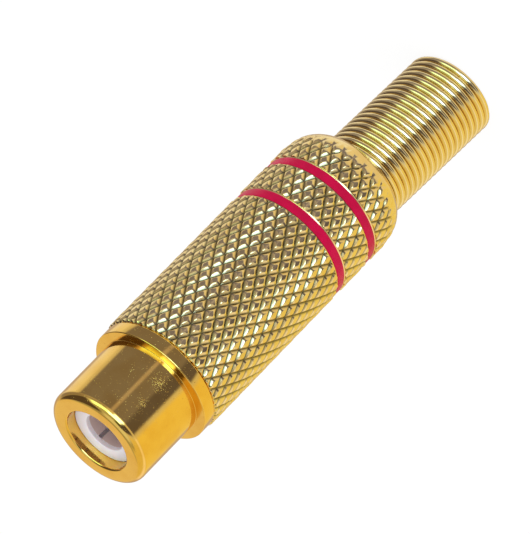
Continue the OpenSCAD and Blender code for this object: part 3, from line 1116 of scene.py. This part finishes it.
@dataclass
class Studio:
    """Pale floor, soft light and the panels that the metal reflects, where a later one lies on top."""

    floor_half: float = 4000.0
    floor_colour: Colour = (0.86, 0.86, 0.86)
    floor_roughness: float = 0.9
    white: float = 1.06
    shadow_share: float = 0.16
    surround: Colour = (0.75, 0.74, 0.71)
    plain_light: Colour = (0.9, 0.9, 0.9)
    lamps: tuple[Lamp, ...] = (
        Lamp("key_lamp", (-260, -220, 380), 260, 0.35),
        Lamp("fill_lamp", (300, -160, 260), 300, 0.12),
    )
    panels: tuple[Panel, ...] = (
        Panel(0, 200, -100, -50, (0.92, 0.82, 0.58)),
        Panel(180, 62, 6, 42, (0.88, 0.77, 0.52)),
        Panel(180, 95, 42, 66, (0.42, 0.42, 0.32)),
        Panel(0, 200, 66, 100, (0.82, 0.90, 0.92)),
        Panel(105, 52, 12, 56, (0.86, 0.75, 0.34)),
        Panel(180, 34, -62, 5, (0.60, 0.50, 0.40)),
        Panel(-30, 70, -43, -14, (0.24, 0.23, 0.34), 4.0),
        Panel(-20, 3.5, -43, -14, (0.52, 0.48, 0.62), 2.0),
        Panel(30, 14, -45, -9, (0.14, 0.13, 0.20), 4.0),
        Panel(99, 46, -65, -10, (0.98, 0.84, 0.30)),
        Panel(-127, 17, -48, -18, (0.98, 0.97, 0.92)),
        Panel(-110, 38, -68, -48, (1.00, 1.00, 0.95)),
        Panel(-110, 32, -14, 12, (0.32, 0.29, 0.34)),
        Panel(-111, 37, 12, 74, (0.10, 0.08, 0.09)),
        Panel(-58, 28, -12, 8, (0.38, 0.35, 0.38)),
        Panel(102, 52, -8, 12, (1.10, 1.03, 0.96)),
        Panel(-34, 42, 40, 72, (0.50, 0.54, 0.45)),
        Panel(-42, 23, 14, 40, (1.70, 3.00, 2.10)),
        Panel(12, 14, 50, 74, (0.15, 0.20, 0.12), 4.0),
        Panel(28, 15, 11, 74, (0.10, 0.09, 0.12), 5.0),
        Panel(-7, 18, 18, 44, (2.5, 4.0, 6.2), 4.0),
        Panel(2, 12, -4, 20, (2.5, 4.0, 6.2), 4.0),
    )

    def floor(self) -> None:
        """Makes the floor, white to the camera but for a share of its shadow."""
        half = self.floor_half * MM
        mesh = bpy.data.meshes.new("floor")
        corners = [(-half, -half, 0), (half, -half, 0), (half, half, 0), (-half, half, 0)]
        mesh.from_pydata(corners, [], [(0, 1, 2, 3)])
        floor = link("floor", mesh)
        paint = bpy.data.materials.new("floor_paper")
        paint.use_nodes = True
        graph = Graph(paint.node_tree)
        matt = graph.fill(paint.node_tree.nodes["Principled BSDF"], {
            "Base Color": (*self.floor_colour, 1.0), "Roughness": self.floor_roughness,
            "Specular IOR Level": 0.0})
        glow = graph.node("ShaderNodeEmission", {"Strength": self.white})
        share = graph.times(self.seen(graph), 1 - self.shadow_share)
        mix = graph.node("ShaderNodeMixShader", {0: share, 1: matt.outputs[0], 2: glow.outputs[0]})
        graph.fill(paint.node_tree.nodes["Material Output"], {"Surface": mix.outputs[0]})
        mesh.materials.append(paint)
        floor.visible_glossy = False

    def seen(self, graph: Graph) -> Socket:
        """Tells whether the camera sees a surface, by itself or through clear plastic."""
        path = graph.node("ShaderNodeLightPath")
        return graph.math("MAXIMUM", path.outputs["Is Camera Ray"], path.outputs["Is Transmission Ray"])

    def surroundings(self) -> None:
        """Makes the world: white to the camera, panels to mirrored rays and plain light to all else."""
        world = bpy.data.worlds.new("studio")
        bpy.context.scene.world = world
        world.use_nodes = True
        graph = Graph(world.node_tree)
        x, y, z = graph.parts(graph.node("ShaderNodeTexCoord").outputs["Generated"])
        around = graph.math("DEGREES", graph.math("ARCTAN2", graph.times(x, -1.0), graph.times(y, -1.0)))
        up = graph.math("DEGREES", graph.math("ARCSINE", z))
        colour: Colour | Socket = self.surround
        for panel in self.panels:
            colour = panel.add(graph, around, up, colour)
        mirrored = graph.node("ShaderNodeLightPath").outputs["Is Glossy Ray"]
        lit = graph.blend(mirrored, self.plain_light, colour)
        seen = graph.blend(self.seen(graph), lit, (self.white,) * 3)
        graph.fill(world.node_tree.nodes["Background"], {"Color": seen})

    def build(self) -> None:
        """Builds the whole studio."""
        self.floor()
        self.surroundings()
        for lamp in self.lamps:
            lamp.hang()


@dataclass
class PhotoCamera:
    """Camera that looks down on the part, rolled so that the part lies across the picture."""

    lens: float = 497.2
    sensor: float = 36.0
    distance: float = 529.38
    elevation: float = 28.72
    roll: float = 224.23
    aim_side: float = 0.037
    aim_height: float = 21.278
    clip: Span = (0.01, 100.0)

    def build(self) -> None:
        """Makes the camera and hands it to the scene."""
        rise, roll = math.radians(self.elevation), math.radians(self.roll)
        away = Vector((0, math.cos(rise), -math.sin(rise)))
        level_up = Vector((0, math.sin(rise), math.cos(rise)))
        side = Vector((1, 0, 0))
        right = side * math.cos(roll) + level_up * math.sin(roll)
        upward = level_up * math.cos(roll) - side * math.sin(roll)
        data = bpy.data.cameras.new("camera")
        data.lens = self.lens
        data.sensor_width = self.sensor
        data.clip_start, data.clip_end = self.clip
        camera = link("camera", data)
        place = (Vector((self.aim_side, 0, self.aim_height)) - away * self.distance) * MM
        turn = Matrix((right, upward, -away)).transposed()
        camera.matrix_world = Matrix.Translation(place) @ turn.to_4x4()
        bpy.context.scene.camera = camera


def main() -> None:
    """Builds the camera, the studio and the three sub-assemblies."""
    logging.basicConfig(level=logging.INFO, format="%(name)s: %(message)s")
    bpy.context.scene.view_settings.view_transform = "Standard"
    PhotoCamera().build()
    Studio().build()
    dresser = Dresser()
    for assembly in (SocketCore(), ScrewShell(), CableGuard()):
        assembly.build(dresser)
        log.info("%s is done", type(assembly).__name__)


if __name__ == "__main__":
    main()
